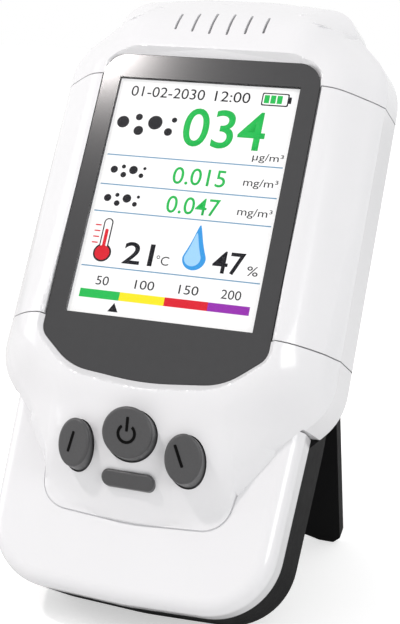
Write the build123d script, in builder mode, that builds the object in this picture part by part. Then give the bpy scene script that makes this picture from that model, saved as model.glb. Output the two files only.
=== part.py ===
from build123d import *
import math
import os

# Handheld airborne particle counter, standing on its kickstand. Millimetres and degrees.
#
# Places on the case are given as (x, y) and a depth: x runs across, y runs up the case from the
# lower edge of the screen window, and depth runs back from the face of the lens.

# ---- Case ----
lean = 30.0
wall = 2.0
case_half_width = 40.2
parting_depth = 19.2
rear_depth = 36.5
crease_depth = 11.0
front_depth = 0.2
side_draft = 8.3
chamfer_drafts = (40.0, 44.0, 48.0)
upper_shoulder_y = 67.7
lower_shoulder_y = -12.0
shoulder_radius = 14.5
upper_shoulder_run = 9.8
lower_shoulder_run = (15.1, 16.6)
seam = 0.3
end_bow_radius = 60.0
cut_margin = 1.0
side_seam_top = (58.5, 59.3)
side_seam_bottom = (-1.5, -1.1)

# ---- Top cap ----
cap_half_width = 31.0
cap_top_y = 87.0
cap_corner = (29.4, 84.0)
cap_corner_radius = 9.0
cap_side_y = 74.0
cap_side_radius = 20.0
cap_root_y = 50.0
cap_flank_draft = 38.0
rim_depth = -1.6
cap_brow_y = 70.5
cap_brow_radius = 15.0
cap_edge_y = 83.2
cap_edge_depth = 7.0
cap_edge_radius = 7.0
cap_back_y = 85.9

# ---- Nose under the screen ----
nose_half_width = 22.9
nose_waist_y = -27.0
nose_waist_radius = 20.0
nose_tip_half_width = 20.8
nose_tip_y = -42.6
nose_tip_side_y = -41.2
nose_tip_radius = 6.5
nose_draft = 14.5
nose_brow_y = -27.0
nose_brow_radius = 15.0
nose_slope = 36.5
nose_crown_radius = 50.8
tongue_depth = 10.5
nose_foot = 0.25
web_corner = (28.6, -23.5)
web_tip_corner = (22.3, -33.0)
web_depth = 7.0
web_draft = 45.0

# ---- Lower cover ----
lower_half_width = 33.8
lower_waist_y = -17.2
lower_end_half_width = 31.9
lower_end_side_y = -58.2
lower_end_y = -59.4
lower_corner_radius = 15.0
lower_edge_radius = 3.5

# ---- Rear cover ----
back_draft = 20.0
rear_edge = 2.5
heel_flat = 0.25
back_waist_radius = 100.0

# ---- Lens and display ----
window_width = 43.2
window_height = 57.6
lens_half_width = 25.9
lens_top_y = 63.4
lens_corner_radius = 5.3
lens_shoulder_y = -5.2
lens_shoulder_radius = 4.0
lens_bottom_corner = (17.5, -12.2)
lens_bottom_radius = 14.0
lens_bottom_y = -14.0
lens_thickness = 1.0
lens_gap = 0.1
recess_draft = 42.0
rail_thickness = 1.6
lcd_border = 2.2
lcd_top_border = 3.0
lcd_bottom_border = 8.6
lcd_thickness = 2.4
tray_plate = 1.0
tray_wall = 1.5

# ---- Buttons ----
button_gap = 0.3
button_travel = 0.5
power_half_width = 5.65
power_half_height = 5.2
power_y = -25.5
power_proud = 2.0
side_button_x = 12.33
side_button_y = -28.8
side_button_half_width = 3.9
side_button_half_height = 5.0
side_button_proud = 2.2
button_tilt = 20.0
button_edge_radius = 0.6
flange_width = 0.8
flange_thickness = 0.8
stem_radius = 2.0
plunger_radius = 1.4
plunger_gap = 0.2
plunger_depth = 7.1
plunger_entry = 0.3
side_plunger = (11.5, -26.5)
switch_size = 6.0
switch_height = 2.0
status_length = 12.0
status_width = 3.4
status_y = -34.4
status_proud = 1.2

# ---- Boards ----
board_depth = 10.0
board_thickness = 1.6
board_half_width = 32.0
board_top_y = 66.0
board_corner = 13.2
board_bottom_y = -9.0
board_tongue_half_width = 16.0
board_tongue_y = -31.0
board_tab_half_width = 7.0
board_tab_y = -33.0
board_post_radius = 2.5
board_screw_radius = 1.0
board_screw_head_radius = 2.0
board_screw_head = 1.2
board_screw_length = 5.0
upper_post = (19.5, 63.2)
lower_post = (28.5, -6.0)

# ---- Case screws ----
screw_clearance = 0.05
case_boss_radius = 3.2
case_screw_radius = 1.3
case_screw_head_radius = 2.6
case_screw_head = 1.6
case_screw_tip_depth = 14.0
upper_boss = (26.0, 64.0)
lower_boss = (22.0, -47.0)

# ---- Battery, sensors and sounder ----
battery_size = (50.0, 33.0, 10.0)
battery_y = 0.5
battery_edge_radius = 2.0
sensor_size = (50.0, 36.0, 20.0)
sensor_y = 36.0
sensor_wall = 1.5
fan_x = -9.5
fan_radius = 12.0
fan_height = 10.0
fan_hub_radius = 4.0
fan_blades = 9
fan_blade = 1.0
fan_shroud_gap = 1.0
axle_radius = 1.0
axle_gap = 0.05
optics_x = 14.0
laser_radius = 3.0
laser_length = 9.0
photodiode_size = (7.0, 6.0, 3.0)
formaldehyde_radius = 8.5
formaldehyde_height = 9.0
formaldehyde_y = -25.2
can_edge_radius = 0.4
can_hole_radius = 0.9
vapour_radius = 4.5
vapour_height = 3.6
vapour_place = (9.0, 60.0)
humidity_size = (4.0, 4.0, 1.3)
humidity_place = (-6.0, 60.0)
buzzer_radius = 4.0
buzzer_height = 3.5
buzzer_place = (-13.5, 60.0)
processor_size = (6.0, 6.0, 1.2)
processor_place = (0.0, 60.0)

# ---- Vents ----
vent_pitch = 4.25
vent_width = 0.6
vent_y = 73.1
vent_lengths = (8.1, 7.2, 6.3)
filter_size = (27.0, 9.0, 1.2)

# ---- Charging socket ----
socket_y = 0.0
socket_depth = 26.6
socket_width = 7.6
socket_height = 2.8
socket_length = 5.2
socket_gap = 0.25
socket_recess = 1.0
socket_shell = 0.4
charging_board_size = (8.0, 13.0, 1.2)
charging_board_inset = 10.7
charging_board_x = charging_board_inset - case_half_width
charging_post_pitch = 8.0
charging_post_radius = 1.8

# ---- Kickstand ----
pivot_y = 7.0
pivot_rise = 2.5
stand_length = 58.7
stand_half_width = 31.8
stand_thickness = 2.0
stand_rib = 1.8
stand_rib_height = 2.0
stand_arch_rise = 4.5
stand_arch_half_width = 27.5
stand_tip_chamfer = 2.2
stand_shoulder = 3.0
knuckle_x = 22.0
knuckle_width = 8.0
knuckle_radius = 2.2
knuckle_gap = 0.3
lug_width = 3.0
pin_radius = 1.0
pin_gap = 0.05
stop_gap = 0.03

# ---- Where the case stands ----
lean_sin = math.sin(math.radians(lean))
lean_cos = math.cos(math.radians(lean))


def along(y, depth):
    """World (Y, Z) of a point on the middle plane, measured from the case's own origin."""
    return y * lean_sin + depth * lean_cos, y * lean_cos - depth * lean_sin


heel_corners = (along(lower_end_y, rear_depth - rear_edge), along(lower_end_y + rear_edge, rear_depth))
case_height = -min(height for _, height in heel_corners) - heel_flat
front_reach = along(lower_end_y + lower_edge_radius, tongue_depth + lower_edge_radius)[0] - lower_edge_radius
back_inset = (rear_depth - rear_edge - parting_depth) * math.tan(math.radians(back_draft)) + rear_edge
back_reach = along(cap_top_y - back_inset, rear_depth)[0]
case_forward = (front_reach + back_reach) / 2
CASE = Plane(
    origin=(0, -case_forward, case_height),
    x_dir=(1, 0, 0),
    z_dir=(0, -lean_cos, lean_sin),
)
OUTWARD = Axis(CASE.origin, CASE.z_dir)
MIDDLE = Plane(origin=CASE.origin, x_dir=CASE.y_dir, z_dir=CASE.x_dir)


def at_depth(depth):
    """Plane parallel to the lens, this far behind its face."""
    return CASE.offset(-depth)


def place(x, y, depth):
    """World point of a place on the case."""
    return CASE.from_local_coords(Vector(x, y, -depth))


def outline(depth, corners, inset=0.0):
    """Closed outline, the same left and right, from its right-hand corners as (x, y, radius)."""
    right = [(x, y) for x, y, _ in corners]
    left = [(-x, y) for x, y in reversed(right) if x > 0]
    radii = [radius for _, _, radius in corners]
    left_radii = [radius for x, _, radius in reversed(corners) if x > 0]
    with BuildSketch(at_depth(depth)) as sketch:
        with BuildLine():
            FilletPolyline(*right, *left, radius=radii + left_radii, close=True)
        make_face()
        if inset != 0:
            offset(amount=-inset, kind=Kind.INTERSECTION)
    return sketch.sketch


shoulder_corners = (
    (case_half_width - upper_shoulder_run, upper_shoulder_y + upper_shoulder_run, 0),
    (case_half_width, upper_shoulder_y, shoulder_radius),
    (case_half_width, lower_shoulder_y, shoulder_radius),
    (case_half_width - lower_shoulder_run[0], lower_shoulder_y - lower_shoulder_run[1], 0),
)
cap_corners = (
    (0, cap_top_y, end_bow_radius),
    (*cap_corner, cap_corner_radius),
    (cap_half_width, cap_side_y, cap_side_radius),
    (cap_half_width, cap_root_y, 0),
)
nose_corners = (
    (nose_half_width, 0, 0),
    (nose_half_width, nose_waist_y, nose_waist_radius),
    (nose_tip_half_width, nose_tip_side_y, nose_tip_radius),
    (0, nose_tip_y, end_bow_radius),
)
web_corners = (
    (web_corner[0], 0, 0),
    (*web_corner, 0),
    (*web_tip_corner, 0),
)
lower_corners = (
    (lower_half_width, lower_waist_y, 0),
    (lower_end_half_width, lower_end_side_y, lower_corner_radius),
    (0, lower_end_y, end_bow_radius),
)
back_corners = (
    (lower_half_width, upper_shoulder_y - shoulder_radius, 0),
    (lower_half_width, lower_waist_y, back_waist_radius),
    (lower_end_half_width, lower_end_side_y, lower_corner_radius),
    (0, lower_end_y, end_bow_radius),
)
lens_corners = (
    (lens_half_width, lens_top_y, lens_corner_radius),
    (lens_half_width, lens_shoulder_y, lens_shoulder_radius),
    (*lens_bottom_corner, lens_bottom_radius),
    (0, lens_bottom_y, end_bow_radius),
)


def drafted(corners, sections):
    """Solid through the same outline at several depths, each drawn in by its own inset."""
    with BuildPart() as form:
        loft([outline(depth, corners, inset).face() for depth, inset in sections], ruled=True)
    return form.part


def shoulder_form(inset):
    """Broad body of the mask: steep sides up to the crease, then a crowned chamfer to the front."""
    side_run = (parting_depth - crease_depth) * math.tan(math.radians(side_draft))
    crease = crease_depth + inset * math.tan(math.radians(chamfer_drafts[1] / 2))
    step = (crease - front_depth - inset) / len(chamfer_drafts)
    sections = [(parting_depth, inset), (crease, inset + side_run)]
    for draft in chamfer_drafts:
        depth, run = sections[-1]
        sections.append((depth - step, run + step * math.tan(math.radians(draft))))
    return drafted(shoulder_corners, sections)


def cap_form(inset):
    """Raised cap over the screen: drafted flanks under a brow that slopes back to the top."""
    side_run = inset + (parting_depth - crease_depth) * math.tan(math.radians(side_draft))
    flank_run = side_run + (crease_depth - rim_depth) * math.tan(math.radians(cap_flank_draft))
    with BuildPart() as form:
        add(drafted(cap_corners, ((parting_depth, inset), (crease_depth, side_run), (rim_depth, flank_run))))
        with BuildSketch(MIDDLE):
            with BuildLine():
                FilletPolyline(
                    (cap_root_y, -rim_depth),
                    (cap_brow_y, -rim_depth),
                    (cap_edge_y, -cap_edge_depth),
                    (cap_back_y, -parting_depth),
                    (cap_back_y, -2 * parting_depth),
                    (cap_root_y, -2 * parting_depth),
                    radius=(0, cap_brow_radius, cap_edge_radius, 0, 0, 0),
                    close=True,
                )
            make_face()
            if inset != 0:
                offset(amount=-inset, kind=Kind.INTERSECTION)
        extrude(amount=cap_half_width, both=True, mode=Mode.INTERSECT)
    return form.part


def nose_form(inset):
    """Crowned nose that carries the buttons, rounded across and sloping back to its tip."""
    slope = math.tan(math.radians(nose_slope))
    flank_run = inset + (tongue_depth - rim_depth) * math.tan(math.radians(nose_draft))
    tip_y = nose_tip_y - cut_margin
    tip_depth = rim_depth + (nose_brow_y - tip_y) * slope
    crown_axis = Axis(place(0, 0, nose_crown_radius + rim_depth), CASE.y_dir)
    with BuildPart() as form:
        add(drafted(nose_corners, ((parting_depth, inset), (tongue_depth, inset), (rim_depth, flank_run))))
        with BuildSketch(MIDDLE):
            with BuildLine():
                FilletPolyline(
                    (cut_margin, -rim_depth),
                    (nose_brow_y, -rim_depth),
                    (tip_y, -tip_depth),
                    (tip_y, -nose_crown_radius - rim_depth),
                    (cut_margin, -nose_crown_radius - rim_depth),
                    radius=(0, nose_brow_radius, 0, 0, 0),
                    close=True,
                )
            make_face()
            if inset != 0:
                offset(amount=-inset, kind=Kind.INTERSECTION)
        revolve(axis=crown_axis, mode=Mode.INTERSECT)
        # foot that stands just proud of the lower cover where the crown runs out
        foot_depth = tongue_depth - nose_foot + inset
        if foot_depth < parting_depth:
            add(drafted(nose_corners, ((parting_depth, inset), (foot_depth, inset))))
    return form.part


def web_form(inset):
    """Low web that fills the corners between the nose and the shoulders."""
    web_run = inset + (tongue_depth - web_depth) * math.tan(math.radians(web_draft))
    sections = ((parting_depth, inset), (tongue_depth + inset, inset), (web_depth + inset, web_run))
    return drafted(web_corners, sections)


def mask_form(inset):
    """The whole white front above the lower cover, as one solid without its hollow."""
    with BuildPart() as form:
        add(shoulder_form(inset))
        add(cap_form(inset))
        add(nose_form(inset))
        add(web_form(inset))
    return form.part


def side_zone(gap):
    """Prisms on both sides of the screen that hold the side panels; gap draws their edges in."""
    inner = lens_half_width + lens_gap + gap
    outer = case_half_width + cut_margin
    with BuildPart() as zone:
        with BuildSketch(at_depth(parting_depth + cut_margin)):
            with BuildLine():
                Polyline(
                    (inner, side_seam_bottom[0] + gap),
                    (outer, side_seam_bottom[1] + gap),
                    (outer, side_seam_top[1] - gap),
                    (inner, side_seam_top[0] - gap),
                    close=True,
                )
            make_face()
            mirror(about=Plane.YZ)
        extrude(amount=parting_depth + 2 * cut_margin)
    return zone.part


def slab(x, y, width, height, front, back):
    """Box parallel to the lens, centred on x and y, between two depths."""
    with BuildPart() as block:
        with BuildSketch(at_depth(back)):
            with Locations((x, y)):
                Rectangle(width, height)
        extrude(amount=back - front)
    return block.part


def rod(x, y, radius, front, back):
    """Cylinder square to the lens between two depths."""
    with BuildPart() as cylinder:
        with BuildSketch(at_depth(back)):
            with Locations((x, y)):
                Circle(radius)
        extrude(amount=back - front)
    return cylinder.part


def both_sides(spot):
    """A place and its mirror image."""
    x, y = spot
    return (x, y), (-x, y)


case_screw_spots = both_sides(upper_boss) + both_sides(lower_boss)
board_screw_spots = both_sides(upper_post) + both_sides(lower_post)
plate_back = front_depth + wall
board_back = board_depth + board_thickness
rear_floor = rear_depth - wall
lcd_half_width = window_width / 2 + lcd_border
lcd_height = window_height + lcd_top_border + lcd_bottom_border
lcd_y = (window_height + lcd_top_border - lcd_bottom_border) / 2
lcd_back = plate_back + lcd_thickness
cut_reach = 3 * case_half_width
shank_radius = case_screw_radius + screw_clearance
mask = mask_form(0)

with BuildPart() as inside:
    add(mask_form(wall))
    # it stays behind the plate and the rim that hold the lens
    extrude(outline(plate_back, lens_corners, -lens_gap - wall), amount=cut_reach, mode=Mode.SUBTRACT)
mask_hollow = inside.part


# ---- Buttons: each has an outline seen from the front, a slanted face and a plunger spot ----
def key_outline(name, margin):
    """Outline of one button or of the status window, at the depth of the board."""
    with BuildSketch(at_depth(board_depth)) as sketch:
        if name == "power":
            with Locations((0, power_y)):
                Ellipse(power_half_width + margin, power_half_height + margin)
        elif name == "status":
            with Locations((0, status_y)):
                SlotOverall(status_length + 2 * margin, status_width + 2 * margin)
        else:
            side = -1 if name == "left" else 1
            with Locations((side * side_button_x, side_button_y)):
                Ellipse(side_button_half_width + margin, side_button_half_height + margin)
    return sketch.sketch


def nose_depth(x, y):
    """Depth of the nose's surface, with its brow taken as sharp."""
    middle = rim_depth + max(0, nose_brow_y - y) * math.tan(math.radians(nose_slope))
    return middle + x * x / (2 * nose_crown_radius)


def key_face(x, y, proud, tilt):
    """Plane of a button's face: it leans down by tilt and outward with the nose's crown."""
    crown = math.asin(x / nose_crown_radius)
    down = math.radians(tilt)
    normal = Vector(
        math.sin(crown) * math.cos(down),
        -math.sin(down),
        math.cos(crown) * math.cos(down),
    )
    return Plane(
        origin=place(x, y, nose_depth(x, y) - proud),
        z_dir=CASE.from_local_coords(normal) - CASE.origin,
    )


key_faces = {
    "power": key_face(0, power_y, power_proud, button_tilt),
    "left": key_face(-side_button_x, side_button_y, side_button_proud, button_tilt),
    "right": key_face(side_button_x, side_button_y, side_button_proud, button_tilt),
    "status": key_face(0, status_y, status_proud, nose_slope),
}
plunger_spots = {
    "power": (0, power_y),
    "left": (-side_plunger[0], side_plunger[1]),
    "right": side_plunger,
}
key_reach = board_depth - rim_depth + 2 * power_half_width


def key_body(name, back_inset):
    """Everything of a button from its slanted face back to the nose form drawn in by back_inset."""
    with BuildPart() as body:
        extrude(key_outline(name, 0), amount=key_reach)
        split(bisect_by=key_faces[name], keep=Keep.BOTTOM)
        fillet(body.faces().sort_by(OUTWARD)[-1].edges(), button_edge_radius)
        add(nose_form(back_inset), mode=Mode.SUBTRACT)
    return body.part


def key_flange(name):
    """Thin flange behind the mask that keeps a button from falling out."""
    front_inset = wall + button_gap
    with BuildPart() as flange:
        extrude(key_outline(name, flange_width + button_gap), amount=key_reach)
        add(nose_form(front_inset), mode=Mode.INTERSECT)
        add(nose_form(front_inset + flange_thickness), mode=Mode.SUBTRACT)
    return flange.part


os.makedirs("parts", exist_ok=True)


# ---- Vent plane: it lies on the sloping brow of the cap ----
brow_rise = (cap_edge_depth - rim_depth) / (cap_edge_y - cap_brow_y)
brow_angle = math.atan(brow_rise)
VENT = Plane(
    origin=place(0, vent_y, rim_depth + (vent_y - cap_brow_y) * brow_rise),
    x_dir=CASE.x_dir,
    z_dir=CASE.y_dir * math.sin(brow_angle) + CASE.z_dir * math.cos(brow_angle),
)


# ---- Space that the front cover leaves to the lower cover, round the edge of the nose ----
with BuildPart() as space:
    below = lower_waist_y + seam - cut_reach / 2
    behind = parting_depth + cut_margin
    add(slab(0, below, cut_reach, cut_reach, tongue_depth, behind))
    nose_edge = outline(tongue_depth + wall, nose_corners, -seam / 2)
    extrude(nose_edge, amount=2 * wall, mode=Mode.SUBTRACT)
lower_space = space.part


# ---- Front cover ----
with BuildPart() as front_cover:
    add(mask)
    add(mask_hollow, mode=Mode.SUBTRACT)
    add(side_zone(0), mode=Mode.SUBTRACT)
    add(lower_space, mode=Mode.SUBTRACT)
    # recess for the lens, with a rim that opens towards the front
    add(drafted(lens_corners, ((lens_thickness, -lens_gap), (0, -lens_gap))), mode=Mode.SUBTRACT)
    rim_run = -2 * rim_depth * math.tan(math.radians(recess_draft))
    add(drafted(lens_corners, ((0, -lens_gap), (2 * rim_depth, -lens_gap - rim_run))), mode=Mode.SUBTRACT)
    # screen window
    window_y = window_height / 2
    add(slab(0, window_y, window_width, window_height, 0, lcd_back), mode=Mode.SUBTRACT)
    # rails behind both long edges of the lens
    rail_y = (side_seam_top[0] + side_seam_bottom[0]) / 2
    rail_height = side_seam_top[0] - side_seam_bottom[0]
    rail_x = lens_half_width + lens_gap - rail_thickness / 2
    for x in (-rail_x, rail_x):
        add(slab(x, rail_y, rail_thickness, rail_height, plate_back, board_depth))
    # posts for the board, cut flush with the outside, and bosses for the upper case screws
    for x, y in board_screw_spots:
        add(rod(x, y, board_post_radius, lens_thickness, board_depth) & mask)
    for x, y in both_sides(upper_boss):
        add(rod(x, y, case_boss_radius, plate_back, parting_depth))
        add(rod(x, y, shank_radius, case_screw_tip_depth, parting_depth), mode=Mode.SUBTRACT)
    screw_tip = board_back - board_screw_length
    for x, y in board_screw_spots:
        add(rod(x, y, board_screw_radius + screw_clearance, screw_tip, board_depth), mode=Mode.SUBTRACT)
    # button holes and the seat of the status window
    for name in plunger_spots:
        extrude(key_outline(name, button_gap), amount=key_reach, mode=Mode.SUBTRACT)
    extrude(key_outline("status", 0), amount=key_reach, mode=Mode.SUBTRACT)
    # vent slots
    with BuildSketch(VENT.offset(-wall - cut_margin)):
        for pair, length in enumerate(vent_lengths):
            with Locations(*both_sides(((pair + 0.5) * vent_pitch, 0))):
                SlotOverall(length, vent_width, rotation=90)
    extrude(amount=2 * wall, mode=Mode.SUBTRACT)
front_cover.part.label = "front_cover"
export_step(front_cover.part, "parts/front_cover.step")


# ---- Side panels ----
for side, name in ((-1, "left_side_panel"), (1, "right_side_panel")):
    with BuildPart() as side_panel:
        add(mask)
        add(mask_hollow, mode=Mode.SUBTRACT)
        add(side_zone(seam), mode=Mode.INTERSECT)
        half = slab(side * cut_reach / 2, 0, cut_reach, 2 * cut_reach, -cut_reach, cut_reach)
        add(half, mode=Mode.INTERSECT)
    side_panel.part.label = name
    export_step(side_panel.part, f"parts/{name}.step")


# ---- Lower cover ----
with BuildPart() as lower_cover:
    extrude(outline(parting_depth, lower_corners), amount=parting_depth - tongue_depth)
    front_edges = lower_cover.faces().sort_by(OUTWARD)[-1].edges()
    fillet(front_edges.sort_by(Axis(CASE.origin, CASE.y_dir))[:-1], lower_edge_radius)
    hollow_corners = ((lower_half_width, -wall, 0),) + lower_corners[1:]
    hollow = outline(parting_depth, hollow_corners, wall)
    extrude(hollow, amount=parting_depth - tongue_depth - wall, mode=Mode.SUBTRACT)
    # opening round the nose, with a fine seam
    nose_opening = outline(parting_depth, nose_corners, -seam)
    extrude(nose_opening, amount=parting_depth, mode=Mode.SUBTRACT)
    for x, y in both_sides(lower_boss):
        add(rod(x, y, case_boss_radius, tongue_depth + wall / 2, parting_depth))
        add(rod(x, y, shank_radius, case_screw_tip_depth, parting_depth), mode=Mode.SUBTRACT)
lower_cover.part.label = "lower_cover"
export_step(lower_cover.part, "parts/lower_cover.step")


# ---- Rear cover ----
def back_form(inset):
    """Tub behind the white covers: drafted sides above, straight sides below, cut rear edges."""
    back = rear_depth - inset
    edge = rear_edge if inset == 0 else 0
    with BuildPart() as form:
        for corners, draft in ((shoulder_corners, back_draft), (cap_corners, back_draft), (back_corners, 0)):
            run = inset + (back - edge - parting_depth) * math.tan(math.radians(draft))
            sections = [(parting_depth, inset), (back - edge, run)]
            if edge > 0:
                sections.append((back, run + edge))
            add(drafted(corners, sections))
    return form.part


pivot_depth = rear_depth + pivot_rise
lug_offset = knuckle_width / 2 + knuckle_gap + lug_width / 2
socket_x = -(case_half_width - (socket_depth - parting_depth) * math.tan(math.radians(back_draft)))
charging_board_front = socket_depth + socket_height / 2
charging_board_back = charging_board_front + charging_board_size[2]

with BuildPart() as rear_cover:
    add(back_form(0))
    add(back_form(wall), mode=Mode.SUBTRACT)
    split(bisect_by=Plane.XY, keep=Keep.TOP)
    # bosses for the case screws, with their heads sunk in the back
    for x, y in case_screw_spots:
        add(rod(x, y, case_boss_radius, parting_depth, rear_floor + wall / 2))
        add(rod(x, y, shank_radius, parting_depth, rear_depth), mode=Mode.SUBTRACT)
        head_front = rear_depth - case_screw_head
        add(rod(x, y, case_screw_head_radius + screw_clearance, head_front, rear_depth), mode=Mode.SUBTRACT)
    # posts for the charging board and an opening for its socket
    for y in (socket_y - charging_post_pitch / 2, socket_y + charging_post_pitch / 2):
        add(rod(charging_board_x, y, charging_post_radius, charging_board_back, rear_floor + wall / 2))
    opening_width = socket_width + 2 * socket_gap
    opening_front = socket_depth - socket_height / 2 - socket_gap
    opening_back = socket_depth + socket_height / 2 + socket_gap
    opening = slab(socket_x, socket_y, 4 * wall, opening_width, opening_front, opening_back)
    add(opening, mode=Mode.SUBTRACT)
    # lugs for the kickstand
    for knuckle in (-knuckle_x, knuckle_x):
        for x in (knuckle - lug_offset, knuckle + lug_offset):
            with BuildSketch(MIDDLE.offset(x - lug_width / 2)):
                with Locations((pivot_y, -pivot_depth)):
                    Circle(knuckle_radius)
                with Locations((pivot_y, -pivot_depth + pivot_rise / 2 + wall / 4)):
                    Rectangle(2 * knuckle_radius, pivot_rise + wall / 2)
                with Locations((pivot_y, -pivot_depth)):
                    Circle(pin_radius, mode=Mode.SUBTRACT)
            extrude(amount=lug_width)
rear_cover.part.label = "rear_cover"
export_step(rear_cover.part, "parts/rear_cover.step")


# ---- Display lens ----
with BuildPart() as display_lens:
    extrude(outline(lens_thickness, lens_corners), amount=lens_thickness)
display_lens.part.label = "display_lens"
export_step(display_lens.part, "parts/display_lens.step")


# ---- Display and its tray ----
with BuildPart() as lcd_panel:
    add(slab(0, lcd_y, 2 * lcd_half_width, lcd_height, plate_back, lcd_back))
lcd_panel.part.label = "lcd_panel"
export_step(lcd_panel.part, "parts/lcd_panel.step")

with BuildPart() as lcd_tray:
    add(slab(0, lcd_y, 2 * lcd_half_width, lcd_height, lcd_back, board_depth))
    inner_width = 2 * (lcd_half_width - tray_wall)
    inner_height = lcd_height - 2 * tray_wall
    add(slab(0, lcd_y, inner_width, inner_height, lcd_back + tray_plate, board_depth), mode=Mode.SUBTRACT)
lcd_tray.part.label = "lcd_tray"
export_step(lcd_tray.part, "parts/lcd_tray.step")


# ---- Buttons, with the plungers that they push ----
for name, (x, y) in plunger_spots.items():
    with BuildPart() as button:
        add(key_body(name, wall + button_gap + flange_thickness))
        add(key_flange(name))
        stem = rod(x, y, stem_radius, rim_depth, plunger_depth)
        add(stem & mask_hollow)
    button.part.label = f"{name}_button"
    export_step(button.part, f"parts/{name}_button.step")
    with BuildPart() as plunger:
        add(rod(x, y, plunger_radius, plunger_depth, board_depth - switch_height + plunger_entry))
    plunger.part.label = f"{name}_plunger"
    export_step(plunger.part, f"parts/{name}_plunger.step")
    with BuildPart() as switch:
        switch_front = board_depth - switch_height
        add(slab(x, y, switch_size, switch_size, switch_front, board_depth))
        bore_back = switch_front + plunger_entry + button_travel + plunger_gap
        bore = rod(x, y, plunger_radius + plunger_gap, switch_front, bore_back)
        add(bore, mode=Mode.SUBTRACT)
    switch.part.label = f"{name}_switch"
    export_step(switch.part, f"parts/{name}_switch.step")

with BuildPart() as status_window:
    add(key_body("status", wall))
status_window.part.label = "status_window"
export_step(status_window.part, "parts/status_window.step")


# ---- Main board and what is soldered on its back ----
with BuildPart() as main_board:
    with BuildSketch(at_depth(board_back)):
        with BuildLine():
            Polyline(
                (board_half_width - board_corner, board_top_y),
                (board_half_width, board_top_y - board_corner),
                (board_half_width, board_bottom_y),
                (board_tongue_half_width, board_bottom_y),
                (board_tongue_half_width, board_tongue_y),
                (board_tab_half_width, board_tongue_y),
                (board_tab_half_width, board_tab_y),
                (-board_tab_half_width, board_tab_y),
                (-board_tab_half_width, board_tongue_y),
                (-board_tongue_half_width, board_tongue_y),
                (-board_tongue_half_width, board_bottom_y),
                (-board_half_width, board_bottom_y),
                (-board_half_width, board_top_y - board_corner),
                (-board_half_width + board_corner, board_top_y),
                close=True,
            )
        make_face()
        with Locations(*board_screw_spots):
            Circle(board_screw_radius + screw_clearance, mode=Mode.SUBTRACT)
    extrude(amount=board_thickness)
main_board.part.label = "main_board"
export_step(main_board.part, "parts/main_board.step")

for name, spot, radius, height in (
    ("formaldehyde_sensor", (0, formaldehyde_y), formaldehyde_radius, formaldehyde_height),
    ("vapour_sensor", vapour_place, vapour_radius, vapour_height),
    ("buzzer", buzzer_place, buzzer_radius, buzzer_height),
):
    with BuildPart() as can:
        add(rod(*spot, radius, board_back, board_back + height))
        fillet(can.faces().sort_by(OUTWARD)[0].edges(), can_edge_radius)
        add(rod(*spot, can_hole_radius, board_back + height / 2, board_back + height), mode=Mode.SUBTRACT)
    can.part.label = name
    export_step(can.part, f"parts/{name}.step")

for name, spot, size in (
    ("humidity_sensor", humidity_place, humidity_size),
    ("processor", processor_place, processor_size),
):
    with BuildPart() as chip:
        add(slab(*spot, size[0], size[1], board_back, board_back + size[2]))
    chip.part.label = name
    export_step(chip.part, f"parts/{name}.step")


# ---- Battery ----
with BuildPart() as battery:
    add(slab(0, battery_y, battery_size[0], battery_size[1], board_back, board_back + battery_size[2]))
    fillet(battery.edges().filter_by(Axis(CASE.origin, CASE.y_dir)), battery_edge_radius)
battery.part.label = "battery"
export_step(battery.part, "parts/battery.step")


# ---- Particle sensor ----
sensor_front = rear_floor - sensor_size[2]
sensor_floor = rear_floor - sensor_wall
fan_front = sensor_floor - fan_shroud_gap - fan_height

with BuildPart() as sensor_tray:
    add(slab(0, sensor_y, sensor_size[0], sensor_size[1], sensor_front + sensor_wall, rear_floor))
    inner_width = sensor_size[0] - 2 * sensor_wall
    inner_height = sensor_size[1] - 2 * sensor_wall
    add(slab(0, sensor_y, inner_width, inner_height, sensor_front, sensor_floor), mode=Mode.SUBTRACT)
sensor_tray.part.label = "sensor_tray"
export_step(sensor_tray.part, "parts/sensor_tray.step")

with BuildPart() as sensor_lid:
    add(slab(0, sensor_y, sensor_size[0], sensor_size[1], sensor_front, sensor_front + sensor_wall))
    add(rod(fan_x, sensor_y, fan_radius / 2, sensor_front, sensor_front + sensor_wall), mode=Mode.SUBTRACT)
sensor_lid.part.label = "sensor_lid"
export_step(sensor_lid.part, "parts/sensor_lid.step")

with BuildPart() as fan_axle:
    add(rod(fan_x, sensor_y, axle_radius, fan_front - fan_shroud_gap, sensor_floor))
fan_axle.part.label = "fan_axle"
export_step(fan_axle.part, "parts/fan_axle.step")

with BuildPart() as fan_impeller:
    add(rod(fan_x, sensor_y, fan_hub_radius, fan_front, fan_front + fan_height))
    with BuildSketch(at_depth(fan_front + fan_height)):
        with Locations((fan_x, sensor_y)):
            with PolarLocations(0, fan_blades):
                with Locations(((fan_hub_radius + fan_radius) / 2 - fan_blade / 2, 0)):
                    Rectangle(fan_radius - fan_hub_radius, fan_blade)
    extrude(amount=fan_height)
    bore = rod(fan_x, sensor_y, axle_radius + axle_gap, fan_front, fan_front + fan_height)
    add(bore, mode=Mode.SUBTRACT)
fan_impeller.part.label = "fan_impeller"
export_step(fan_impeller.part, "parts/fan_impeller.step")

optics_depth = sensor_floor - laser_radius
with BuildPart() as laser_diode:
    laser_y = sensor_y - sensor_size[1] / 2 + sensor_wall + laser_length
    with BuildSketch(Plane(origin=place(optics_x, laser_y, optics_depth), z_dir=-CASE.y_dir)):
        Circle(laser_radius)
    extrude(amount=laser_length)
laser_diode.part.label = "laser_diode"
export_step(laser_diode.part, "parts/laser_diode.step")

with BuildPart() as photodiode:
    width, height, thickness = photodiode_size
    add(slab(optics_x, sensor_y, width, height, sensor_floor - thickness, sensor_floor))
photodiode.part.label = "photodiode"
export_step(photodiode.part, "parts/photodiode.step")


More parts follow.
